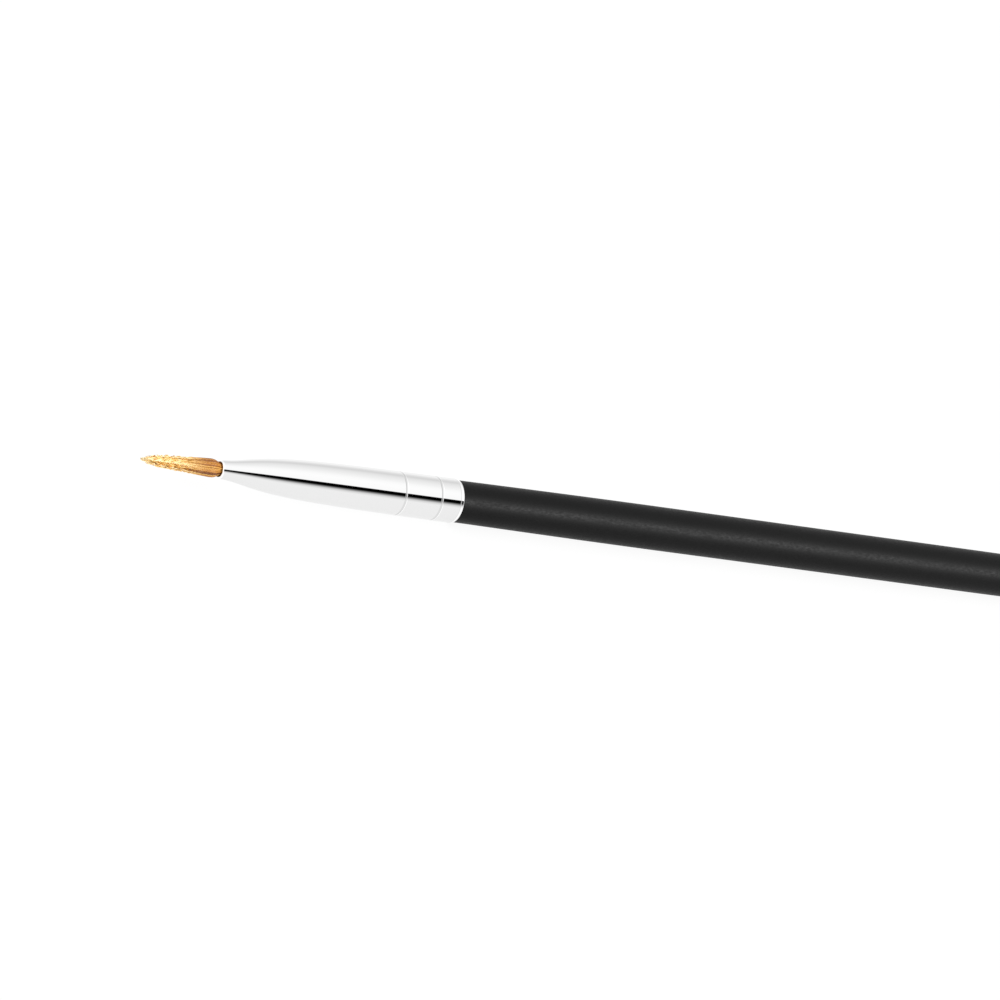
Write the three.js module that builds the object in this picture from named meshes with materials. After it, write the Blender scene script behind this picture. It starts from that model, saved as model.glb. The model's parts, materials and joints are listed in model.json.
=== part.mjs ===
// A fine detail brush lying on a table: turned handle, drawn ferrule, bound hair tuft.
// Millimetres. The brush's axis runs along X with the hair towards -X, and +Z is up.
// The origin is under the middle of the brush, on the surface that it lies on.
import * as THREE from 'three';

// Lengths along the axis
const HAIR_OUT = 9.7;
const FERRULE_LENGTH = 30.1;
const HANDLE_LENGTH = 126.2;
const TENON_LENGTH = 13.0;
const ROOT_DEPTH = 11.0;

// Ferrule: a tube that flares from a narrow mouth and then straightens to its full radius
const FULL_RADIUS = 2.5;
const MOUTH_RADIUS = 1.06;
const HALF_FLARE_AT = 5.5;
const MOUTH_WALL = 0.26;
const REAR_WALL = 0.28;
const CRIMP_DEPTH = 0.04;
const CRIMP_WIDTH = 0.3;
const CRIMPS_FROM_REAR = [2.86, 7.5];
const REAR_RIM_LENGTH = 0.25;
const REAR_RIM_INSET = 0.03;

// Handle: a slim spindle whose thickest stretch is a true cylinder
const SHOULDER_RADIUS = 2.36;
const BELLY_FROM = 28.0;
const BELLY_TO = 72.0;
const TAIL_RADIUS = 1.5;
const TAIL_FLAT_RADIUS = 0.7;
const TENON_CHAMFER = 0.5;

// Fits between the pieces
const FILM_GAP = 0.03;
const FILM_THICKNESS = 0.1;
const FILM_INSET_FRONT = 1.0;
const FILM_INSET_REAR = 0.4;
const END_GAP = 0.05;

// Hair: a ring of outer locks, a ring of inner locks and a core, which bend about one pivot
const OUTER_LOCKS = 10;
const INNER_LOCKS = 5;
const OUTER_RING_RADIUS = 0.74;
const INNER_RING_RADIUS = 0.35;
const OUTER_LOCK_RADIUS = 0.2;
const INNER_LOCK_RADIUS = 0.16;
const CORE_RADIUS = 0.15;
const LONGEST_LOCK = 0.97;
const SHORTEST_INNER_LOCK = 0.9;
const SHORTEST_OUTER_LOCK = 0.84;
const PIVOT_OUT = 2.2;
const PIVOT_CLEARANCE = 0.1;

// Root: a waist in the mouth, between a bulge outside it and a straight bound stretch inside
const ROOT_BULGE_RADIUS = 0.96;
const ROOT_BULGE_OUT = 0.7;
const WAIST_RADIUS = 0.74;
const WAIST_END = 2.0;
const BOUND_RADIUS = 1.1;

// Thread binding and resin plug
const THREAD_RADIUS = 0.09;
const THREAD_TURNS = 6;
const THREAD_PITCH = 0.24;
const THREAD_START = 7.6;
const RESIN_FROM = 6.4;
const RESIN_BEHIND_ROOT = 2.0;

// Facets round the axis; one of them faces straight down on the handle and the ferrule
const SIDES = 40;
const INNER_SIDES = 20;
const LOCK_SIDES = 8;

const OVERALL_LENGTH = HAIR_OUT + FERRULE_LENGTH + HANDLE_LENGTH;
const TIP_X = -OVERALL_LENGTH / 2;
const MOUTH_X = TIP_X + HAIR_OUT;
const SHOULDER_X = MOUTH_X + FERRULE_LENGTH;
const AXIS_HEIGHT = FULL_RADIUS;
const PIVOT_RADIUS = OUTER_RING_RADIUS + OUTER_LOCK_RADIUS + PIVOT_CLEARANCE;

const black = new THREE.MeshStandardMaterial({ color: 0x1b1b1c, roughness: 0.42, metalness: 0 });
const plated = new THREE.MeshStandardMaterial({ color: 0xe6e7e8, roughness: 0.06, metalness: 1 });
const golden = new THREE.MeshStandardMaterial({ color: 0xd9a24e, roughness: 0.55, metalness: 0 });
const brown = new THREE.MeshStandardMaterial({ color: 0x8a4f22, roughness: 0.6, metalness: 0 });
const amber = new THREE.MeshStandardMaterial({ color: 0xb98a3c, roughness: 0.3, metalness: 0 });
const cream = new THREE.MeshStandardMaterial({ color: 0xe8ddc2, roughness: 0.5, metalness: 0 });
const linen = new THREE.MeshStandardMaterial({ color: 0xd8cfb8, roughness: 0.85, metalness: 0 });

const brush = new THREE.Group();
brush.position.z = AXIS_HEIGHT;

function addPiece(name, geometry, material) {
  const mesh = new THREE.Mesh(geometry, material);
  mesh.name = name;
  brush.add(mesh);
}

// `count` + 1 evenly spaced numbers from `from` to `to`
function spaced(from, to, count) {
  return Array.from({ length: count + 1 }, (_, i) => from + ((to - from) * i) / count);
}

// A closed piece turned about the X axis, from [x, radius] points in order of rising x on the outside.
// The middle of each facet, not its corners, lies at the given radius.
function turned(points, sides) {
  const cornerShare = 1 / Math.cos(Math.PI / sides);
  const profile = points.map(([x, radius]) => new THREE.Vector2(radius * cornerShare, x));
  const geometry = new THREE.LatheGeometry(profile, sides, Math.PI / sides);
  geometry.rotateZ(-Math.PI / 2);
  return geometry;
}

// How far a crimp ring presses the ferrule's wall inwards at s, the distance behind the mouth
function crimpDepth(s) {
  const half = CRIMP_WIDTH / 2;
  const offsets = CRIMPS_FROM_REAR.map((behind) => Math.abs(s - (FERRULE_LENGTH - behind)));
  const nearest = Math.min(...offsets);
  return nearest < half ? CRIMP_DEPTH * Math.cos((nearest / half) * (Math.PI / 2)) : 0;
}

// How much of its flare the ferrule has reached at s: slow at the mouth, then quick, then slow again
function flare(s) {
  return s ** 2 / (s ** 2 + HALF_FLARE_AT ** 2);
}

function ferruleRadius(s) {
  const share = flare(s) / flare(FERRULE_LENGTH);
  return MOUTH_RADIUS + (FULL_RADIUS - MOUTH_RADIUS) * share - crimpDepth(s);
}

function boreRadius(s) {
  const wall = MOUTH_WALL + (REAR_WALL - MOUTH_WALL) * Math.min(s / (FERRULE_LENGTH / 2), 1);
  return ferruleRadius(s) - wall;
}

// Distances behind the mouth at which the ferrule, the film and the tenon are drawn between two ends:
// close together in the flare and on each crimp ring
function ferruleStations(from, to) {
  const flaring = spaced(0, 1, 9).map((share) => FERRULE_LENGTH * share ** 2);
  const crimps = CRIMPS_FROM_REAR.flatMap((behind) =>
    spaced(-CRIMP_WIDTH / 2, CRIMP_WIDTH / 2, 4).map((offset) => FERRULE_LENGTH - behind + offset),
  );
  const clear = flaring.filter((s) => crimps.every((crimp) => Math.abs(s - crimp) > CRIMP_WIDTH));
  const inside = [...clear, ...crimps].filter((s) => s > from && s < to);
  return [from, ...inside.sort((a, b) => a - b), to];
}

function ferrule() {
  const stations = ferruleStations(0, FERRULE_LENGTH - REAR_RIM_LENGTH);
  const outside = stations.map((s) => [MOUTH_X + s, ferruleRadius(s)]);
  const rim = [
    [SHOULDER_X, ferruleRadius(FERRULE_LENGTH) - REAR_RIM_INSET],
    [SHOULDER_X, boreRadius(FERRULE_LENGTH)],
  ];
  const inside = stations.map((s) => [MOUTH_X + s, boreRadius(s)]).reverse();
  return turned([...outside, ...rim, ...inside, outside[0]], SIDES);
}

function tenonRadius(s) {
  return boreRadius(s) - 2 * FILM_GAP - FILM_THICKNESS;
}

// The body's radius at t, the distance behind the shoulder
function handleRadius(t) {
  if (t < BELLY_FROM) {
    const swell = Math.sin((t / BELLY_FROM) * (Math.PI / 2));
    return SHOULDER_RADIUS + (FULL_RADIUS - SHOULDER_RADIUS) * swell;
  }
  if (t <= BELLY_TO) return FULL_RADIUS;
  const taper = (t - BELLY_TO) / (HANDLE_LENGTH - BELLY_TO);
  return TAIL_RADIUS + (FULL_RADIUS - TAIL_RADIUS) * Math.cos(taper * (Math.PI / 2));
}

function handle() {
  const tenonFrom = FERRULE_LENGTH - TENON_LENGTH;
  const tenon = ferruleStations(tenonFrom + TENON_CHAMFER, FERRULE_LENGTH + END_GAP).map((s) => [
    MOUTH_X + s,
    tenonRadius(Math.min(s, FERRULE_LENGTH)),
  ]);
  const tenonTip = [
    [MOUTH_X + tenonFrom, 0],
    [MOUTH_X + tenonFrom, tenonRadius(tenonFrom) - TENON_CHAMFER],
  ];
  const roundFrom = HANDLE_LENGTH - TAIL_RADIUS;
  const swelling = spaced(0, BELLY_FROM, 5);
  const tapering = spaced(BELLY_TO, roundFrom, 8);
  const body = [...swelling, ...tapering].map((t) => [SHOULDER_X + END_GAP + t, handleRadius(t)]);
  const endRadius = handleRadius(roundFrom);
  const roundTo = Math.acos(TAIL_FLAT_RADIUS / endRadius);
  const tailEnd = spaced(0, roundTo, 5)
    .slice(1)
    .map((turn) => [
      SHOULDER_X + roundFrom + (TAIL_RADIUS * Math.sin(turn)) / Math.sin(roundTo),
      endRadius * Math.cos(turn),
    ]);
  const tailX = tailEnd[tailEnd.length - 1][0];
  return turned([...tenonTip, ...tenon, ...body, ...tailEnd, [tailX, 0]], SIDES);
}

function tenonAdhesive() {
  const from = FERRULE_LENGTH - TENON_LENGTH + FILM_INSET_FRONT;
  const stations = ferruleStations(from, FERRULE_LENGTH - FILM_INSET_REAR);
  const outside = stations.map((s) => [MOUTH_X + s, boreRadius(s) - FILM_GAP]);
  const inside = stations.map((s) => [MOUTH_X + s, tenonRadius(s) + FILM_GAP]).reverse();
  return turned([...outside, ...inside, outside[0]], SIDES);
}

// The bound root: a butt behind the thread, a waist through the mouth, a bulge outside it,
// and a hollow end, round about the pivot, in front of which the free locks swing
function hairRoot() {
  const hollow = PIVOT_RADIUS + PIVOT_CLEARANCE;
  const rimTurn = Math.asin(ROOT_BULGE_RADIUS / hollow);
  const pivotX = MOUTH_X - PIVOT_OUT;
  const cup = spaced(0, rimTurn, 5).map((turn) => [
    pivotX + hollow * Math.cos(turn),
    hollow * Math.sin(turn),
  ]);
  return turned(
    [
      ...cup,
      [MOUTH_X - ROOT_BULGE_OUT, ROOT_BULGE_RADIUS],
      [MOUTH_X, WAIST_RADIUS],
      [MOUTH_X + WAIST_END, WAIST_RADIUS],
      [MOUTH_X + RESIN_FROM, BOUND_RADIUS],
      [MOUTH_X + ROOT_DEPTH, BOUND_RADIUS],
      [MOUTH_X + ROOT_DEPTH, 0],
    ],
    INNER_SIDES,
  );
}

class ThreadPath extends THREE.Curve {
  getPoint(t, target = new THREE.Vector3()) {
    const turn = t * THREAD_TURNS * 2 * Math.PI;
    const radius = BOUND_RADIUS + FILM_GAP + THREAD_RADIUS;
    const x = MOUTH_X + THREAD_START + t * THREAD_TURNS * THREAD_PITCH;
    return target.set(x, radius * Math.cos(turn), radius * Math.sin(turn));
  }
}

function threadBinding() {
  const section = new THREE.Shape();
  section.absarc(0, 0, THREAD_RADIUS, 0, 2 * Math.PI);
  return new THREE.ExtrudeGeometry(section, {
    steps: THREAD_TURNS * 16,
    curveSegments: 3,
    extrudePath: new ThreadPath(),
  });
}

// A plug that fills the bore behind the root and runs forward round the thread as a collar
function rootResin() {
  const backX = MOUTH_X + ROOT_DEPTH + RESIN_BEHIND_ROOT;
  const pocketX = MOUTH_X + ROOT_DEPTH + END_GAP;
  const frontX = MOUTH_X + RESIN_FROM;
  const pocketRadius = BOUND_RADIUS + 3 * FILM_GAP + 2 * THREAD_RADIUS;
  const outside = spaced(RESIN_FROM, ROOT_DEPTH + RESIN_BEHIND_ROOT, 4).map((s) => [
    MOUTH_X + s,
    boreRadius(s) - 2 * FILM_GAP,
  ]);
  return turned(
    [[pocketX, 0], [pocketX, pocketRadius], [frontX, pocketRadius], ...outside, [backX, 0]],
    INNER_SIDES,
  );
}

// The tuft's outline as a share of its radius at the root: slimming slowly, then a blunt round point
function tuftFullness(t) {
  const slimming = 1 - 0.22 * t;
  const point = Math.sqrt(Math.max(1 - t ** 5, 0.02));
  return slimming * point;
}

// One lock: a round-ended tapering rod along -X from the pivot's sphere, bent to follow the tuft's outline.
// `reach` is how far in front of the mouth it ends, and `angle` places it round the axis.
function hairLock(ringRadius, lockRadius, angle, reach) {
  const outermost = ringRadius + lockRadius;
  const rootOut = PIVOT_OUT - Math.sqrt(PIVOT_RADIUS ** 2 - outermost ** 2);
  const freeLength = reach - rootOut;
  const stations = spaced(0, 1, 8);
  const rod = stations.map((t) => {
    const taper = Math.sqrt(Math.max(1 - t ** 6, 0));
    return new THREE.Vector2(lockRadius * tuftFullness(t) * taper, t * freeLength);
  });
  const geometry = new THREE.LatheGeometry([new THREE.Vector2(0, 0), ...rod], LOCK_SIDES);
  geometry.rotateZ(Math.PI / 2);
  geometry.translate(MOUTH_X - rootOut, 0, 0);
  const points = geometry.attributes.position;
  for (let i = 0; i < points.count; i += 1) {
    const out = MOUTH_X - points.getX(i);
    const ring = ringRadius * tuftFullness(Math.min(out / HAIR_OUT, 1));
    points.setY(i, points.getY(i) + ring * Math.cos(angle));
    points.setZ(i, points.getZ(i) + ring * Math.sin(angle));
  }
  return geometry;
}

// How far in front of the mouth a lock ends: those on top reach furthest and those underneath end short
function lockReach(angle, shortest) {
  const rise = (1 + Math.sin(angle)) / 2;
  return HAIR_OUT * (shortest + (LONGEST_LOCK - shortest) * rise);
}

function hairLocks() {
  addPiece('hair_core', hairLock(0, CORE_RADIUS, 0, HAIR_OUT), golden);
  for (let i = 0; i < INNER_LOCKS; i += 1) {
    const angle = ((i + 0.5) / INNER_LOCKS) * 2 * Math.PI;
    const reach = lockReach(angle, SHORTEST_INNER_LOCK);
    const lock = hairLock(INNER_RING_RADIUS, INNER_LOCK_RADIUS, angle, reach);
    addPiece(`inner_hair_lock_${i + 1}`, lock, golden);
  }
  for (let i = 0; i < OUTER_LOCKS; i += 1) {
    const angle = (i / OUTER_LOCKS) * 2 * Math.PI;
    const reach = lockReach(angle, SHORTEST_OUTER_LOCK);
    const lock = hairLock(OUTER_RING_RADIUS, OUTER_LOCK_RADIUS, angle, reach);
    addPiece(`outer_hair_lock_${i + 1}`, lock, golden);
  }
}

addPiece('handle', handle(), black);
addPiece('ferrule', ferrule(), plated);
addPiece('tenon_adhesive', tenonAdhesive(), cream);
addPiece('thread_binding', threadBinding(), linen);
addPiece('root_resin', rootResin(), amber);
addPiece('hair_root', hairRoot(), brown);
hairLocks();

export default brush;
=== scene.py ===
import json
import math
import random

import bpy
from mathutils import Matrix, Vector

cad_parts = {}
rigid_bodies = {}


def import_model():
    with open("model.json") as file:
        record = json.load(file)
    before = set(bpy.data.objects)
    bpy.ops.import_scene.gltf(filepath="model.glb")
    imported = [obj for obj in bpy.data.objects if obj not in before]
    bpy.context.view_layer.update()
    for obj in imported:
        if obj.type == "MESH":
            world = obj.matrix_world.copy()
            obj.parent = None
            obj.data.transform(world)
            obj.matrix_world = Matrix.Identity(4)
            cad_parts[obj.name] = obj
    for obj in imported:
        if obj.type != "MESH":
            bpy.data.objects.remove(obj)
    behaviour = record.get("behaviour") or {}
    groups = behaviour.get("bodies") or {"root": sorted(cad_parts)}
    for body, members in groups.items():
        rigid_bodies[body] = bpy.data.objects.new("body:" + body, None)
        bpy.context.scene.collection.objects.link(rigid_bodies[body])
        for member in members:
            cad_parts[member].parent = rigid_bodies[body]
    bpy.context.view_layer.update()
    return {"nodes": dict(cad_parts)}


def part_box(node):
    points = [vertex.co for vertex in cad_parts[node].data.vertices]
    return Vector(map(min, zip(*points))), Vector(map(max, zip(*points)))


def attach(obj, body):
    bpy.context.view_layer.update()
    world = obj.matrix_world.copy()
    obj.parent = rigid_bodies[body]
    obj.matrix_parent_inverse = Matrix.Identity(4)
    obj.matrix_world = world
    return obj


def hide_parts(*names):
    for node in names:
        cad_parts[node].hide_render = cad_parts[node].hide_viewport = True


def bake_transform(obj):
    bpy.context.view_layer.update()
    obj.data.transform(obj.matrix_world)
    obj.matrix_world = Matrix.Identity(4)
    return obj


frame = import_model()

MM = 0.001
FIXED_BODY = "handle_assembly"


# ---------------------------------------------------------------- places, from the frame

FERRULE_LOW, FERRULE_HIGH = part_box("ferrule")
HANDLE_LOW, HANDLE_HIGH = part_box("handle")
CORE_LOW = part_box("hair_core")[0]
ROOT_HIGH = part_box("hair_root")[1]

MOUTH_X = FERRULE_LOW.x
SHOULDER_X = FERRULE_HIGH.x
TIP_X = CORE_LOW.x
AXIS_Z = (HANDLE_LOW.z + HANDLE_HIGH.z) / 2
FULL_RADIUS = (HANDLE_HIGH.z - HANDLE_LOW.z) / 2
HAIR_OUT = MOUTH_X - TIP_X
FERRULE_LENGTH = SHOULDER_X - MOUTH_X
HANDLE_LENGTH = HANDLE_HIGH.x - SHOULDER_X

# The CAD part's own driving dimensions, where a box can't give them
MOUTH_RADIUS = 1.06 * MM
HALF_FLARE_AT = 5.5 * MM
MOUTH_WALL = 0.26 * MM
REAR_WALL = 0.28 * MM
CRIMPS_FROM_REAR = (2.86 * MM, 7.5 * MM)
CRIMP_DEPTH = 0.04 * MM
SHOULDER_RADIUS = 2.36 * MM
BELLY_FROM = 28.0 * MM
BELLY_TO = 72.0 * MM
TAIL_RADIUS = 1.5 * MM
TAIL_FLAT_RADIUS = 0.7 * MM
TENON_CHAMFER = 0.5 * MM
TENON_FIT = 0.16 * MM                    # the glue film and the gap on either side of it
END_GAP = 0.05 * MM

# The looks' own: smoother rounds, wider crimps and details that the CAD part leaves out or makes coarser
ROUND_SIDES = 128
CRIMP_WIDTH = 0.32 * MM
CRIMP_PAINTED_HIGHLIGHT = 0.06 * MM                  # the painted highlight band behind each crimp
LIP_LENGTH = 0.14 * MM
REAR_BEAD_LENGTH = 0.34 * MM
REAR_GROOVE_WIDTH = 0.14 * MM
REAR_GROOVE_DEPTH = 0.02 * MM
SHOULDER_EDGE = 0.06 * MM                # the rounding of the handle's edge at the shoulder
SHOULDER_EDGE_ENDS = 0.4 * MM


# ---------------------------------------------------------------- camera

CAMERA_ELEVATION = math.radians(30)
TILT_TO_CAMERA = math.radians(31.5)      # how far the hair end leans out of the picture plane
CAMERA_ROLL = math.radians(28.48)
CAMERA_DISTANCE = 0.7
FRAME_WIDTH = 111.93 * MM                # what the picture spans at the aim point
AIM_BEHIND_SHOULDER = 6.17 * MM
AIM_ABOVE_AXIS = 0.81 * MM
SENSOR_WIDTH = 36.0


def make_camera():
    """A long lens that sees the brush from above and from the side, with the hair end nearer."""
    swing = math.asin(math.sin(TILT_TO_CAMERA) / math.cos(CAMERA_ELEVATION))
    to_camera = Vector((
        -math.sin(swing) * math.cos(CAMERA_ELEVATION),
        -math.cos(swing) * math.cos(CAMERA_ELEVATION),
        math.sin(CAMERA_ELEVATION),
    ))
    right = (-to_camera).cross(Vector((0, 0, 1))).normalized()
    up = right.cross(-to_camera)
    rolled_up = up * math.cos(CAMERA_ROLL) - right * math.sin(CAMERA_ROLL)
    rolled_right = right * math.cos(CAMERA_ROLL) + up * math.sin(CAMERA_ROLL)
    aim = Vector((SHOULDER_X + AIM_BEHIND_SHOULDER, 0, AXIS_Z)) + rolled_up * AIM_ABOVE_AXIS
    data = bpy.data.cameras.new("camera")
    data.sensor_width = SENSOR_WIDTH
    data.lens = SENSOR_WIDTH * CAMERA_DISTANCE / FRAME_WIDTH
    data.clip_start = 0.01
    camera = bpy.data.objects.new("camera", data)
    bpy.context.scene.collection.objects.link(camera)
    turn = camera.matrix_world.to_3x3()
    turn.col[0] = rolled_right
    turn.col[1] = rolled_up
    turn.col[2] = to_camera
    camera.matrix_world = turn.to_4x4()
    camera.location = aim + to_camera * CAMERA_DISTANCE
    bpy.context.scene.camera = camera


make_camera()


# ---------------------------------------------------------------- node helpers

def new_material(name):
    material = bpy.data.materials.new(name)
    material.use_nodes = True
    tree = material.node_tree
    tree.nodes.clear()
    output = tree.nodes.new("ShaderNodeOutputMaterial")
    shader = tree.nodes.new("ShaderNodeBsdfPrincipled")
    tree.links.new(shader.outputs["BSDF"], output.inputs["Surface"])
    return material, tree, shader


def add_ramp(tree, source, stops):
    """A colour ramp on source, with stops of (place, colour) or (place, grey)."""
    ramp = tree.nodes.new("ShaderNodeValToRGB")
    elements = ramp.color_ramp.elements
    while len(elements) < len(stops):
        elements.new(0.5)
    for element, (place, colour) in zip(elements, stops):
        element.position = place
        if isinstance(colour, (int, float)):
            colour = (colour, colour, colour)
        element.color = (*colour, 1)
    tree.links.new(source, ramp.inputs["Fac"])
    return ramp.outputs["Color"]


def add_noise(tree, scale, detail=3.0, stretch=(1, 1, 1), roughness=0.5):
    """Noise in the piece's own coordinates, in features per metre, squeezed or drawn out on an axis."""
    place = tree.nodes.new("ShaderNodeTexCoord")
    mapping = tree.nodes.new("ShaderNodeMapping")
    mapping.inputs["Scale"].default_value = stretch
    noise = tree.nodes.new("ShaderNodeTexNoise")
    noise.inputs["Scale"].default_value = scale
    noise.inputs["Detail"].default_value = detail
    noise.inputs["Roughness"].default_value = roughness
    tree.links.new(place.outputs["Object"], mapping.inputs["Vector"])
    tree.links.new(mapping.outputs["Vector"], noise.inputs["Vector"])
    return noise.outputs["Fac"]


def add_bump(tree, shader, height, strength, distance):
    bump = tree.nodes.new("ShaderNodeBump")
    bump.inputs["Strength"].default_value = strength
    bump.inputs["Distance"].default_value = distance
    tree.links.new(height, bump.inputs["Height"])
    tree.links.new(bump.outputs["Normal"], shader.inputs["Normal"])


def add_range(tree, source, low, high):
    """Source, which runs from 0 to 1, spread over low to high."""
    spread = tree.nodes.new("ShaderNodeMapRange")
    spread.inputs["To Min"].default_value = low
    spread.inputs["To Max"].default_value = high
    tree.links.new(source, spread.inputs["Value"])
    return spread.outputs["Result"]


def attribute(tree, name):
    """A value that the mesh itself carries, point by point."""
    node = tree.nodes.new("ShaderNodeAttribute")
    node.attribute_name = name
    return node.outputs["Fac"]


def add_mix(tree, share, first, second):
    mix = tree.nodes.new("ShaderNodeMix")
    mix.data_type = "RGBA"
    tree.links.new(share, mix.inputs["Factor"])
    tree.links.new(first, mix.inputs["A"])
    tree.links.new(second, mix.inputs["B"])
    return mix.outputs["Result"]


def add_math(tree, operation, *values):
    """A math node whose inputs are sockets or plain numbers."""
    node = tree.nodes.new("ShaderNodeMath")
    node.operation = operation
    for socket, value in zip(node.inputs, values):
        if isinstance(value, (int, float)):
            socket.default_value = value
        else:
            tree.links.new(value, socket)
    return node.outputs["Value"]


# ---------------------------------------------------------------- materials

def lacquer_material():
    """Black satin lacquer: finely speckled, and a little glossier here and duller there."""
    material, tree, shader = new_material("black_lacquer")
    speckle = add_noise(tree, 7000, detail=4, roughness=0.7)
    mottling = add_noise(tree, 3500, detail=5, stretch=(0.7, 1, 1), roughness=0.75)
    tone = add_ramp(tree, speckle, [(0.35, 0.0010), (0.7, 0.0030)])
    tree.links.new(tone, shader.inputs["Base Color"])
    tree.links.new(add_ramp(tree, mottling, [(0.36, 0.43), (0.64, 0.61)]), shader.inputs["Roughness"])
    shader.inputs["Specular IOR Level"].default_value = 0.08
    shader.inputs["Sheen Weight"].default_value = 0.02
    shader.inputs["Sheen Roughness"].default_value = 0.5
    add_bump(tree, shader, speckle, 0.25, 0.02 * MM)
    return material


def plated_material():
    """Bright plating on drawn tube: a mirror with faint draw lines and handling marks. The mesh says how
    brightly it
    reflects: painted shade in the crimps (0) and the rear groove, plain (a half), and polished rims and a
    painted highlight behind each crimp (1)."""
    material, tree, shader = new_material("plated_metal")
    lines = add_noise(tree, 1500, detail=1, stretch=(0.004, 1, 1))
    marks = add_noise(tree, 600, detail=3)
    # painted shade in the crimps and the rear groove, painted highlight behind the crimps, polish on the
    # rims
    tone = add_ramp(tree, attribute(tree, "polish_and_painted_light"), [(0, 0.70), (0.5, 0.82), (1, 0.99)])
    tree.links.new(tone, shader.inputs["Base Color"])
    shader.inputs["Metallic"].default_value = 1
    tree.links.new(add_range(tree, marks, 0.012, 0.03), shader.inputs["Roughness"])
    add_bump(tree, shader, lines, 0.01, 0.0005 * MM)
    return material


def hair_material():
    """Golden hair: orange-brown at the root and pale gold towards the tip, in the tones on the mesh, which
    also carry painted light and shade.
    """
    material, tree, shader = new_material("hair")
    # tone holds each hair's own shade with painted shade and painted light added
    tone = attribute(tree, "tone")
    root = add_ramp(tree, tone, [
        (0.0, (0.055, 0.013, 0.002)),
        (0.25, (0.14, 0.044, 0.005)),
        (0.6, (0.30, 0.12, 0.019)),
        (1.0, (0.49, 0.285, 0.072)),
    ])
    tip = add_ramp(tree, tone, [
        (0.0, (0.29, 0.078, 0.0085)),
        (0.25, (0.48, 0.22, 0.032)),
        (0.6, (0.65, 0.45, 0.145)),
        (1.0, (0.80, 0.67, 0.43)),
    ])
    ripening = add_ramp(tree, attribute(tree, "along"), [(0.20, 0.0), (0.78, 1.0)])
    colour = add_mix(tree, ripening, root, tip)
    tree.links.new(colour, shader.inputs["Base Color"])
    mottling = add_noise(tree, 5000, detail=2)
    tree.links.new(add_range(tree, mottling, 0.30, 0.45), shader.inputs["Roughness"])
    shader.inputs["Specular IOR Level"].default_value = 0.2
    return material


def mottled_material(name, dark, light, scale, roughness, bump, stretch=(1, 1, 1)):
    """A dry or cured material whose colour wanders between two tones, with a slightly uneven skin."""
    material, tree, shader = new_material(name)
    noise = add_noise(tree, scale, detail=4, stretch=stretch)
    tree.links.new(add_ramp(tree, noise, [(0.3, dark), (0.7, light)]), shader.inputs["Base Color"])
    tree.links.new(add_range(tree, noise, roughness - 0.08, roughness + 0.08), shader.inputs["Roughness"])
    add_bump(tree, shader, noise, 0.3, bump)
    return material


LACQUER = lacquer_material()
PLATED = plated_material()
HAIR = hair_material()
GLUE = mottled_material("wood_glue", (0.55, 0.44, 0.26), (0.80, 0.72, 0.52), 1500, 0.5, 0.01 * MM)
RESIN = mottled_material("resin", (0.30, 0.15, 0.03), (0.60, 0.36, 0.10), 900, 0.25, 0.01 * MM)
THREAD = mottled_material("thread", (0.50, 0.44, 0.32), (0.80, 0.74, 0.60), 8000, 0.8, 0.02 * MM)
ROOT_HAIR = mottled_material(
    "hair_root", (0.05, 0.015, 0.004), (0.32, 0.12, 0.03), 9000, 0.55, 0.03 * MM, stretch=(0.04, 1, 1)
)


# ---------------------------------------------------------------- turned shapes

def spaced(start, end, count):
    return [start + (end - start) * i / count for i in range(count + 1)]


def add_mesh(name, vertices, faces, material):
    mesh = bpy.data.meshes.new(name)
    mesh.from_pydata(vertices, [], faces)
    mesh.polygons.foreach_set("use_smooth", [True] * len(mesh.polygons))
    mesh.materials.append(material)
    mesh.update()
    piece = bpy.data.objects.new(name, mesh)
    bpy.context.scene.collection.objects.link(piece)
    return piece


def turned(name, profile, material, sides=ROUND_SIDES):
    """A closed round piece about the brush's axis, from (x, radius) points in order of rising x outside.
    Ends on the axis close there, and a profile that returns to its first point closes as a ring."""
    ring = profile[0] == profile[-1]
    points = profile[:-1] if ring else profile
    vertices, rows = [], []
    for x, radius in points:
        if radius < 1e-9:
            rows.append([len(vertices)] * sides)
            vertices.append((x, 0, AXIS_Z))
            continue
        rows.append(list(range(len(vertices), len(vertices) + sides)))
        for i in range(sides):
            turn = 2 * math.pi * i / sides
            vertices.append((x, radius * math.cos(turn), AXIS_Z + radius * math.sin(turn)))
    faces = []
    pairs = list(zip(rows, rows[1:] + rows[:1])) if ring else list(zip(rows, rows[1:]))
    for row, following in pairs:
        for i in range(sides):
            j = (i + 1) % sides
            corners = [row[i], following[i], following[j], row[j]]
            faces.append(list(dict.fromkeys(corners)))
    return add_mesh(name, vertices, faces, material)


def rounded_corner(corner, before, after, radius, steps=5):
    """Points that round a profile's corner between the directions to the points before and after it."""
    corner, before, after = Vector(corner), Vector(before), Vector(after)
    start = corner + (before - corner).normalized() * radius
    end = corner + (after - corner).normalized() * radius
    points = []
    for t in spaced(0, 1, steps):
        points.append(tuple(start * (1 - t) ** 2 + corner * 2 * t * (1 - t) + end * t ** 2))
    return points


# ---------------------------------------------------------------- ferrule

def crimp_depth(s):
    """How far a crimp ring presses the wall in at s, the distance behind the mouth."""
    half = CRIMP_WIDTH / 2
    nearest = min(abs(s - (FERRULE_LENGTH - behind)) for behind in CRIMPS_FROM_REAR)
    if nearest >= half:
        return 0
    return CRIMP_DEPTH * (0.5 + 0.5 * math.cos(math.pi * nearest / half))


def flare(s):
    """How much of its flare the ferrule has reached at s: slow at the mouth, quick, then slow again."""
    return s * s / (s * s + HALF_FLARE_AT * HALF_FLARE_AT)


def ferrule_radius(s):
    share = flare(s) / flare(FERRULE_LENGTH)
    return MOUTH_RADIUS + (FULL_RADIUS - MOUTH_RADIUS) * share - crimp_depth(s)


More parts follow.
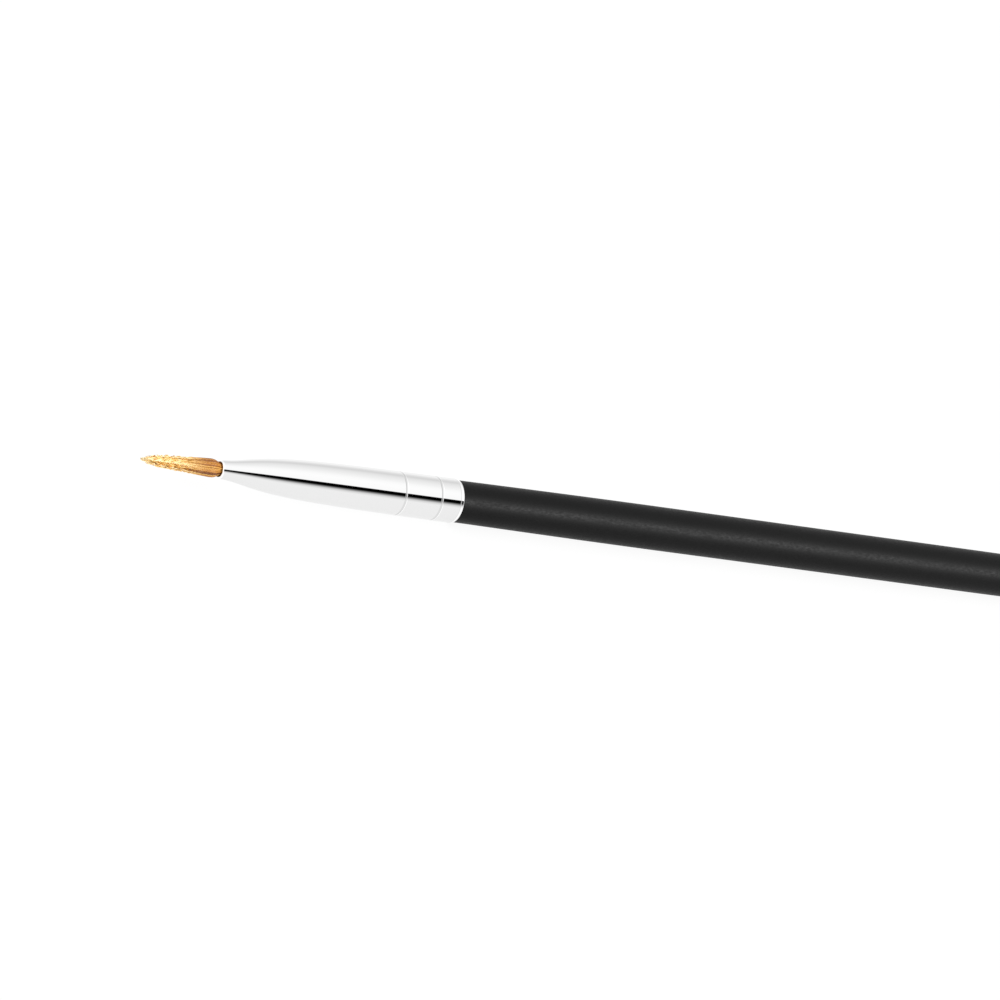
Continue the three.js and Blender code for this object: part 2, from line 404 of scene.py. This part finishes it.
def bore_radius(s):
    wall = MOUTH_WALL + (REAR_WALL - MOUTH_WALL) * min(s / (FERRULE_LENGTH / 2), 1)
    return ferrule_radius(s) - wall


CROWDING = 1.6                           # draws the stations together towards the mouth
CRIMP_STATIONS = 24


def ferrule_stations(start, end, count):
    """Distances behind the mouth, closer together near it and closest on the crimp rings."""
    stations = [start + (end - start) * t ** CROWDING for t in spaced(0, 1, count)]
    for behind in CRIMPS_FROM_REAR:
        middle = FERRULE_LENGTH - behind
        reach = CRIMP_WIDTH / 2 + 1.5 * CRIMP_PAINTED_HIGHLIGHT
        crimp = [middle + offset for offset in spaced(-reach, reach, CRIMP_STATIONS)]
        if start < crimp[0]:
            stations = [s for s in stations if abs(s - middle) > 1.1 * reach] + crimp
    return sorted(stations)


def mouth_lip():
    """The rolled lip at the mouth, from the bore round to the outside."""
    half_wall = MOUTH_WALL / 2
    middle = MOUTH_RADIUS - half_wall
    points = []
    for turn in spaced(math.pi, 0, 10):
        x = MOUTH_X + LIP_LENGTH * (1 - math.sin(turn))
        points.append((x, middle + half_wall * math.cos(turn)))
    return points


def rear_rim():
    """A fine turned groove and a rounded bead at the ferrule's rear end, from outside in to the bore."""
    groove_at = FERRULE_LENGTH - REAR_BEAD_LENGTH - REAR_GROOVE_WIDTH / 2
    points = []
    for offset in spaced(-REAR_GROOVE_WIDTH / 2, REAR_GROOVE_WIDTH / 2, 6):
        depth = REAR_GROOVE_DEPTH * (0.5 + 0.5 * math.cos(2 * math.pi * offset / REAR_GROOVE_WIDTH))
        points.append((MOUTH_X + groove_at + offset, FULL_RADIUS - depth))
    round_to = FULL_RADIUS - REAR_BEAD_LENGTH / 4
    for turn in spaced(0, math.pi / 2, 8):
        x = SHOULDER_X - REAR_BEAD_LENGTH / 2 * (1 - math.sin(turn))
        points.append((x, round_to + (FULL_RADIUS - round_to) * math.cos(turn)))
    return points


def polish_and_painted_light(x):
    """1 on the polished rims, and just behind the crimps as a painted highlight; 0 in the crimps, as
    painted shade; and a half elsewhere. The fine groove at the rear gets painted shade nearly as dark as
    the crimps."""
    s = x - MOUTH_X
    if s < 1.5 * LIP_LENGTH or s > FERRULE_LENGTH - REAR_BEAD_LENGTH:
        return 1
    if s > FERRULE_LENGTH - REAR_BEAD_LENGTH - 0.8 * REAR_GROOVE_WIDTH:
        return 0.2
    for behind in CRIMPS_FROM_REAR:
        gap = s - (FERRULE_LENGTH - behind)
        if abs(gap) < 0.4 * CRIMP_WIDTH:
            return 0
        if 0 < gap < CRIMP_WIDTH / 2 + CRIMP_PAINTED_HIGHLIGHT:
            return 1
    return 0.5


def make_ferrule():
    lip_to = 1.2 * LIP_LENGTH
    rim_from = FERRULE_LENGTH - REAR_BEAD_LENGTH - 1.2 * REAR_GROOVE_WIDTH
    outside = [(MOUTH_X + s, ferrule_radius(s)) for s in ferrule_stations(lip_to, rim_from, 44)]
    inside = [(MOUTH_X + s, bore_radius(s)) for s in ferrule_stations(lip_to, FERRULE_LENGTH, 24)]
    profile = [*mouth_lip(), *outside, *rear_rim(), *reversed(inside)]
    ferrule = turned("plated_ferrule", [*profile, profile[0]], PLATED)
    # painted shade and highlight at the crimps and the rear groove, and the polished rims
    polish_and_painted_light_layer = ferrule.data.attributes.new("polish_and_painted_light", "FLOAT", "POINT")
    polish_and_painted_light_layer.data.foreach_set("value", [polish_and_painted_light(vertex.co.x) for vertex in ferrule.data.vertices])
    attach(ferrule, FIXED_BODY)
    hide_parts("ferrule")


make_ferrule()


# ---------------------------------------------------------------- handle

def handle_radius(t):
    """The handle's radius at t, the distance behind the shoulder."""
    if t < BELLY_FROM:
        swell = math.sin(t / BELLY_FROM * math.pi / 2)
        return SHOULDER_RADIUS + (FULL_RADIUS - SHOULDER_RADIUS) * swell
    if t <= BELLY_TO:
        return FULL_RADIUS
    taper = (t - BELLY_TO) / (HANDLE_LENGTH - BELLY_TO)
    return TAIL_RADIUS + (FULL_RADIUS - TAIL_RADIUS) * math.cos(taper * math.pi / 2)


def tenon_profile():
    """The tenon inside the ferrule, from its chamfered tip back to the shoulder."""
    tip = HANDLE_LOW.x - MOUTH_X
    first = bore_radius(tip + TENON_CHAMFER) - TENON_FIT
    points = [(HANDLE_LOW.x, 0), (HANDLE_LOW.x, first - TENON_CHAMFER)]
    for s in ferrule_stations(tip + TENON_CHAMFER, FERRULE_LENGTH, 12):
        points.append((MOUTH_X + s, bore_radius(s) - TENON_FIT))
    return points


def tail_profile():
    """The rounded tail, which ends in the small flat where it was parted off."""
    round_from = HANDLE_LENGTH - TAIL_RADIUS
    end_radius = handle_radius(round_from)
    round_to = math.acos(TAIL_FLAT_RADIUS / end_radius)
    points = []
    for turn in spaced(0, round_to, 14)[1:]:
        reach = TAIL_RADIUS * math.sin(turn) / math.sin(round_to)
        points.append((SHOULDER_X + round_from + reach, end_radius * math.cos(turn)))
    return points


def make_handle():
    tenon = tenon_profile()
    shoulder = SHOULDER_X + END_GAP
    corner = (shoulder, SHOULDER_RADIUS)
    edge = rounded_corner(corner, (shoulder, 0), (SHOULDER_X + BELLY_FROM, SHOULDER_RADIUS), SHOULDER_EDGE)
    stations = spaced(SHOULDER_EDGE_ENDS, HANDLE_LENGTH - TAIL_RADIUS, 70)
    body = [(shoulder + t, handle_radius(t)) for t in stations]
    tail = tail_profile()
    profile = [*tenon, (shoulder, tenon[-1][1]), *edge, *body, *tail, (tail[-1][0], 0)]
    handle = turned("lacquered_handle", profile, LACQUER)
    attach(handle, FIXED_BODY)
    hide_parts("handle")


make_handle()


# ---------------------------------------------------------------- inside the ferrule

def dress_inner_pieces():
    """The sealed pieces keep their CAD shapes and get their own materials."""
    for node, material in (("tenon_adhesive", GLUE), ("root_resin", RESIN), ("thread_binding", THREAD)):
        piece = frame["nodes"][node]
        piece.data.materials.clear()
        piece.data.materials.append(material)


dress_inner_pieces()


# ---------------------------------------------------------------- hair

HAIR_SEED = 7
WISP_COUNT = 96                          # hairs cling together in wisps
HAIRS_IN_WISP = 6
HAIR_RADIUS = 0.042 * MM
HAIR_END_RADIUS = 0.008 * MM
HAIR_SIDES = 5
STRAIGHT_STEPS = 14
CRINKLED_STEPS = 64
HAIR_START = 2.0 * MM                    # how far inside the mouth the modelled hairs begin
WISP_RADIUS = 0.09 * MM
OUTER_LOCKS = 10
INNER_LOCKS = 5
GOLDEN_ANGLE = math.pi * (3 - math.sqrt(5))
PINCHED_RADIUS = 0.79 * MM               # of the hair in the ferrule's mouth
TUFT_RADIUS = 1.12 * MM                  # of the hair once it has swelled, just outside the mouth
SWELLING_LENGTH = 0.55 * MM
CRINKLED_FROM = 0.26                     # as a share of the hair that shows
CRINKLED_FULLY = 0.55
TAPER = 0.39                             # how much slimmer the tuft is at its end
WAIST = 0.06                             # and how much slimmer again in its waist
WAIST_AT = 0.5
WAIST_LENGTH = 0.2
POINT_SHARPNESS = 7                      # the higher, the shorter the round of the point
POINT_BLUNTNESS = 0.16

# Each wisp and each hair draws its own measures between these limits, in millimetres
WAVE_LENGTHS = (0.9, 1.6)
WAVE_SIZES = (0.03, 0.10)
KINK_LENGTHS = (0.45, 0.8)
KINK_SIZES = (0.03, 0.08)
CRINKLE_SHADING_LENGTHS = (0.5, 1.2)

SHORTER_OUTSIDE = 0.31                   # share by which the outermost wisp can fall short
HAIR_REACHES = (0.88, 1.06)              # as a share of its wisp's reach
HAIR_PLACES = (0.8, 1.1)                 # how far it lies from its wisp's middle, in wisp radii
HAIR_TWISTS = (-0.5, 0.5)                # round its wisp, in turns
WISP_DRIFTS = (-0.35, 0.35)              # round the tuft, in radians

# Which lock a hair belongs to, by its place across the tuft from 0 to 1
CORE_TO = 0.2
INNER_LOCKS_TO = 0.55


def tuft_radius(out):
    """The tuft's radius at a distance in front of the mouth: pinched in the mouth, full just outside it,
    slimming from there to a faint waist halfway, and then a blunt round point."""
    t = max(out, 0) / HAIR_OUT
    pinch = (1 - PINCHED_RADIUS / TUFT_RADIUS) * math.exp(-((max(out, 0) / SWELLING_LENGTH) ** 2))
    slimming = 1 - TAPER * t - WAIST * math.exp(-(((t - WAIST_AT) / WAIST_LENGTH) ** 2))
    point = math.sqrt(max(1 - t ** POINT_SHARPNESS, POINT_BLUNTNESS))
    return TUFT_RADIUS * (1 - pinch) * slimming * point


def looseness(out):
    """0 where the hairs lie straight and close, up to 1 where they are free to crinkle."""
    return min(max(out / HAIR_OUT - CRINKLED_FROM, 0) / (CRINKLED_FULLY - CRINKLED_FROM), 1)


class Wisp:
    """A few hairs that cling together: its place across the tuft, its end, its tone and its crinkle."""

    def __init__(self, rng, index):
        self.share = math.sqrt((index + 0.5) / WISP_COUNT)
        self.angle = index * GOLDEN_ANGLE % (2 * math.pi)
        shortest = 1 - SHORTER_OUTSIDE * self.share
        self.reach = HAIR_OUT * rng.uniform(shortest, 1.0)
        self.tone = rng.random()
        self.wave_length = rng.uniform(*WAVE_LENGTHS) * MM
        self.wave_size = rng.uniform(*WAVE_SIZES) * MM
        self.wave_turn = rng.uniform(0, 2 * math.pi)
        self.phase = rng.uniform(0, 2 * math.pi)
        self.drift = rng.uniform(*WISP_DRIFTS)

    def middle(self, out):
        """Where the wisp's middle is across the tuft, out in front of the mouth."""
        loose = looseness(out)
        radius = max(tuft_radius(out) - WISP_RADIUS - HAIR_RADIUS, 0) * self.share
        around = self.angle + self.drift * loose
        swing = self.wave_size * loose
        turns = 2 * math.pi * out / self.wave_length
        wave = swing * math.sin(turns + self.phase)
        curl = 0.6 * swing * math.cos(0.8 * turns + self.phase)
        across, up = math.cos(self.wave_turn), math.sin(self.wave_turn)
        y = radius * math.cos(around) + wave * across - curl * up
        z = radius * math.sin(around) + wave * up + curl * across
        return y, z


def hair_path(rng, wisp, place):
    """One hair's points, from inside the mouth to its tip. place is its number in the wisp."""
    turn = place * 2 * math.pi / (HAIRS_IN_WISP - 1)
    beside = 0 if place == 0 else WISP_RADIUS * rng.uniform(*HAIR_PLACES)
    twist = rng.uniform(*HAIR_TWISTS)
    phase = rng.uniform(0, 2 * math.pi)
    kink = rng.uniform(*KINK_SIZES) * MM
    kink_length = rng.uniform(*KINK_LENGTHS) * MM
    reach = min(wisp.reach * rng.uniform(*HAIR_REACHES), HAIR_OUT)
    loose_from = CRINKLED_FROM * HAIR_OUT
    stations = spaced(-HAIR_START, loose_from, STRAIGHT_STEPS)
    stations += spaced(loose_from, reach, CRINKLED_STEPS)[1:]
    points = []
    for out in stations:
        y, z = wisp.middle(out)
        loose = looseness(out)
        clinging = 1 - 0.5 * loose * (max(out, 0) / reach) ** 2
        own = kink * loose * math.sin(2 * math.pi * out / kink_length + phase)
        around = turn + twist * 2 * math.pi * loose * max(out, 0) / HAIR_OUT
        y += (beside * clinging + own) * math.cos(around)
        z += (beside * clinging + own) * math.sin(around)
        points.append(Vector((MOUTH_X - out, y, AXIS_Z + z)))
    return points


DARKEST_SHADE = 0.05                     # of a hair's own shade, from dark to pale
WISP_SHADES = 0.5                        # how much of it the wisp decides
HAIR_SHADES = 0.6                        # and how much the hair itself
PAINTED_DEPTH_SHADE = 0.55                       # painted shade: how much darker the hair is in the depth of the tuft
PAINTED_FLANK_SHADE = 0.55                       # painted shade along two opposite flanks of its root
FLANK_ANGLE = math.radians(54)
FLANK_LENGTH = 3.0 * MM
PAINTED_CRINKLE_SHADING = 0.18                       # painted light and shade: how much each hair's shade comes and goes along its crinkles
TIP_SHADE = 0.45                         # how much paler the very ends are
PALE_FROM = 0.86                         # as a share of the hair that shows


def hair_tone_with_painted_shade(shade, crinkle_shading_length, phase, point):
    """One hair's tone at a point: its own shade, with painted shade deep in the tuft and along the flanks
    of its root, painted light and shade where it crinkles, and paler at the tuft's end."""
    out = max(MOUTH_X - point.x, 0)
    up = point.z - AXIS_Z
    # painted shade deep in the tuft and on the root's flanks, painted light and shade along the crinkles
    depth = max(tuft_radius(out) - math.hypot(point.y, up), 0) / TUFT_RADIUS
    around = math.atan2(up, point.y)
    flank = max(math.cos(2 * (around - FLANK_ANGLE)), 0) ** 3
    near_root = max(1 - out / FLANK_LENGTH, 0) ** 0.5
    painted_crinkle_shading = PAINTED_CRINKLE_SHADING * looseness(out) * math.sin(2 * math.pi * out / crinkle_shading_length + phase)
    pale = TIP_SHADE * max(out / HAIR_OUT - PALE_FROM, 0) / (1 - PALE_FROM)
    return max(shade + painted_crinkle_shading + pale - PAINTED_DEPTH_SHADE * depth - PAINTED_FLANK_SHADE * flank * near_root, 0)


def hair_tube(vertices, faces, along, tone, rng, path, shade):
    """Adds one tapering hair to a lock's mesh, with how far along it each point is and its own shade with
    painted shade at each point.
    """
    crinkle_shading_length = rng.uniform(*CRINKLE_SHADING_LENGTHS) * MM
    phase = rng.uniform(0, 2 * math.pi)
    first = len(vertices)
    count = len(path)
    for k, point in enumerate(path):
        t = k / (count - 1)
        radius = HAIR_RADIUS * (1 - t ** 3) + HAIR_END_RADIUS
        direction = (path[min(k + 1, count - 1)] - path[max(k - 1, 0)]).normalized()
        side = direction.cross(Vector((0, 0, 1))).normalized()
        above = side.cross(direction)
        for i in range(HAIR_SIDES):
            turn = 2 * math.pi * i / HAIR_SIDES
            vertices.append(point + side * (radius * math.cos(turn)) + above * (radius * math.sin(turn)))
            along.append(max(MOUTH_X - point.x, 0) / HAIR_OUT)
            tone.append(hair_tone_with_painted_shade(shade, crinkle_shading_length, phase, point))
    for k in range(count - 1):
        for i in range(HAIR_SIDES):
            j = (i + 1) % HAIR_SIDES
            row, following = first + k * HAIR_SIDES, first + (k + 1) * HAIR_SIDES
            faces.append((row + i, row + j, following + j, following + i))
    faces.append([first + i for i in reversed(range(HAIR_SIDES))])
    last = first + (count - 1) * HAIR_SIDES
    faces.append([last + i for i in range(HAIR_SIDES)])


def nearest_lock(share, angle):
    """The CAD lock that a hair belongs to, by its place across the bundle."""
    if share < CORE_TO:
        return "hair_core"
    if share < INNER_LOCKS_TO:
        place = round(angle / (2 * math.pi) * INNER_LOCKS - 0.5) % INNER_LOCKS
        return f"inner_hair_lock_{place + 1}"
    place = round(angle / (2 * math.pi) * OUTER_LOCKS) % OUTER_LOCKS
    return f"outer_hair_lock_{place + 1}"


def make_hair():
    """Several hundred hairs, gathered into a mesh for each lock."""
    rng = random.Random(HAIR_SEED)
    locks = {}
    for index in range(WISP_COUNT):
        wisp = Wisp(rng, index)
        mesh = locks.setdefault(nearest_lock(wisp.share, wisp.angle), ([], [], [], []))
        for place in range(HAIRS_IN_WISP):
            path = hair_path(rng, wisp, place)
            shade = DARKEST_SHADE + WISP_SHADES * wisp.tone + HAIR_SHADES * rng.random()
            hair_tube(*mesh, rng, path, shade)
    for lock, (vertices, faces, along, tone) in sorted(locks.items()):
        piece = add_mesh(f"{lock}_hairs", vertices, faces, HAIR)
        for name, values in (("along", along), ("tone", tone)):
            piece.data.attributes.new(name, "FLOAT", "POINT").data.foreach_set("value", values)
        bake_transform(piece)
        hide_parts(lock)


ROOT_FLUTES = 36
ROOT_FLUTE_DEPTH = 0.03 * MM
ROOT_BEHIND_MOUTH = 1.2 * MM
ROOT_BOUND_FROM = 6.4 * MM               # behind the mouth, where the root has its full radius
ROOT_SIDES = 4 * ROOT_FLUTES


def root_ring(x):
    """The fluted outline of the bound root at x."""
    bound = ROOT_HIGH.z - AXIS_Z - 2 * ROOT_FLUTE_DEPTH
    share = min((x - MOUTH_X) / ROOT_BOUND_FROM, 1)
    radius = (PINCHED_RADIUS - 2 * ROOT_FLUTE_DEPTH) * (1 - share) + bound * share
    ring = []
    for i in range(ROOT_SIDES):
        turn = 2 * math.pi * i / ROOT_SIDES
        reach = radius + ROOT_FLUTE_DEPTH * math.cos(ROOT_FLUTES * turn)
        ring.append((x, reach * math.cos(turn), AXIS_Z + reach * math.sin(turn)))
    return ring


def make_root():
    """The bound root inside the ferrule: a fluted bundle of hair ends that stops short of the mouth."""
    stations = spaced(MOUTH_X + ROOT_BEHIND_MOUTH, ROOT_HIGH.x, 20)
    vertices = [point for x in stations for point in root_ring(x)]
    front_middle, back_middle = len(vertices), len(vertices) + 1
    vertices += [(stations[0], 0, AXIS_Z), (stations[-1], 0, AXIS_Z)]
    last_row = ROOT_SIDES * (len(stations) - 1)
    faces = []
    for i in range(ROOT_SIDES):
        j = (i + 1) % ROOT_SIDES
        for row in range(0, last_row, ROOT_SIDES):
            following = row + ROOT_SIDES
            faces.append((row + i, following + i, following + j, row + j))
        faces.append((i, j, front_middle))
        faces.append((last_row + j, last_row + i, back_middle))
    root = add_mesh("bound_hair_root", vertices, faces, ROOT_HAIR)
    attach(root, FIXED_BODY)
    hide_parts("hair_root")


make_hair()
make_root()


# ---------------------------------------------------------------- studio

FLOOR_ALBEDO = 0.10
FLOOR_GLOW = 0.93
FLOOR_HALF_SIZE = 3.0
FLOOR_DROP = 0.02 * MM                   # how far it lies under the brush, so that they don't touch


def make_floor():
    """A plain table that glows, so that it stays white round the brush."""
    material, tree, shader = new_material("pale_floor")
    shader.inputs["Base Color"].default_value = (FLOOR_ALBEDO, FLOOR_ALBEDO, FLOOR_ALBEDO, 1)
    shader.inputs["Roughness"].default_value = 0.9
    shader.inputs["Specular IOR Level"].default_value = 0
    shader.inputs["Emission Color"].default_value = (1, 1, 1, 1)
    shader.inputs["Emission Strength"].default_value = FLOOR_GLOW
    mesh = bpy.data.meshes.new("floor")
    far = FLOOR_HALF_SIZE
    corners = [(-far, -far), (far, -far), (far, far), (-far, far)]
    mesh.from_pydata([(x, y, -FLOOR_DROP) for x, y in corners], [], [(0, 1, 2, 3)])
    mesh.materials.append(material)
    floor = bpy.data.objects.new("floor", mesh)
    bpy.context.scene.collection.objects.link(floor)


# The light tent's brightness by the angle round the brush's axis, in degrees:
# 0 is the horizon in front, 90 is overhead and 180 is the horizon behind. All that is below the horizon is
# as bright as the horizon in front.
TENT = [
    (0, 1.03), (45, 1.17), (75, 1.20), (90, 1.16), (101, 1.09), (114, 1.02), (128, 0.94), (143, 0.80),
    (152, 0.86), (165, 0.98), (180, 1.12),
]
# How much of it the gap between the front and the top sheet takes away, in the same angles
GAP = [(3, 0.0), (14, 0.27), (19, 0.60), (24, 0.87), (27.5, 1.0), (41.6, 1.0), (43.4, 0.0)]
# Where the gap and the darker end of the tent lie along the brush, from -1 straight ahead of the hair
# to 1 straight behind the tail
GAP_ENDS = [(-0.10, 0.0), (0.08, 1.0), (0.76, 1.0), (0.84, 0.0)]
TENT_ENDS = [(-0.2, 1.06), (0.2, 1.0), (0.76, 1.0), (0.86, 0.60)]


def add_angle_ramp(tree, share, stops):
    """A ramp whose stops lie between 0 and 180 degrees."""
    return add_ramp(tree, share, [(degrees / 180, value) for degrees, value in stops])


def add_length_ramp(tree, share, stops):
    """A ramp whose stops lie between -1 and 1."""
    return add_ramp(tree, share, [((place + 1) / 2, value) for place, value in stops])


def make_studio():
    """A white light tent with a narrow black gap, which the ferrule mirrors as a line."""
    world = bpy.data.worlds.new("studio")
    bpy.context.scene.world = world
    world.use_nodes = True
    tree = world.node_tree
    background = tree.nodes["Background"]
    background.inputs["Color"].default_value = (1, 1, 1, 1)
    place = tree.nodes.new("ShaderNodeTexCoord")
    split = tree.nodes.new("ShaderNodeSeparateXYZ")
    tree.links.new(place.outputs["Generated"], split.inputs["Vector"])
    forward = add_math(tree, "MULTIPLY", split.outputs["Y"], -1)
    angle = add_math(tree, "ARCTAN2", split.outputs["Z"], forward)
    round_share = add_math(tree, "DIVIDE", angle, math.pi)
    length_share = add_math(tree, "MULTIPLY_ADD", split.outputs["X"], 0.5, 0.5)
    tent_round = add_angle_ramp(tree, round_share, TENT)
    tent_along = add_length_ramp(tree, length_share, TENT_ENDS)
    tent = add_math(tree, "MULTIPLY", tent_round, tent_along)
    gap_round = add_angle_ramp(tree, round_share, GAP)
    gap_along = add_length_ramp(tree, length_share, GAP_ENDS)
    gap = add_math(tree, "MULTIPLY", gap_round, gap_along)
    open_share = add_math(tree, "SUBTRACT", 1, gap)
    tree.links.new(add_math(tree, "MULTIPLY", tent, open_share), background.inputs["Strength"])


LAMP_ANGLE = math.radians(40)            # round the brush's axis, up from the horizon in front
LAMP_DISTANCE = 0.6
LAMP_TURN = math.radians(31)             # how far behind the shoulder it stands, seen from there
LAMP_LENGTH = 0.6
LAMP_WIDTH = 0.15
LAMP_POWER = 11.5


def make_lamp():
    """A strip lamp for the satin handle's soft highlight and the sparkle of the hair. It is linked to
    those pieces alone, because the mirror of the ferrule would show it."""
    across = Vector((0, -math.cos(LAMP_ANGLE), math.sin(LAMP_ANGLE)))
    data = bpy.data.lights.new("strip_lamp", "AREA")
    data.shape = "RECTANGLE"
    data.size = LAMP_LENGTH
    data.size_y = LAMP_WIDTH
    data.energy = LAMP_POWER
    lamp = bpy.data.objects.new("strip_lamp", data)
    bpy.context.scene.collection.objects.link(lamp)
    turn = lamp.matrix_world.to_3x3()
    turn.col[0] = Vector((1, 0, 0))
    turn.col[1] = across.cross(Vector((1, 0, 0)))
    turn.col[2] = across
    lamp.matrix_world = turn.to_4x4()
    along = Vector((math.tan(LAMP_TURN) * LAMP_DISTANCE, 0, 0))
    lamp.location = Vector((SHOULDER_X, 0, AXIS_Z)) + along + across * LAMP_DISTANCE
    lamp.visible_camera = False
    lit = bpy.data.collections.new("lit_by_strip_lamp")
    for piece in bpy.data.objects:
        if piece.name == "lacquered_handle" or piece.name.endswith("_hairs"):
            lit.objects.link(piece)
    lamp.light_linking.receiver_collection = lit


make_floor()
make_studio()
make_lamp()

view = bpy.context.scene.view_settings
view.view_transform = "Standard"
view.look = "None"
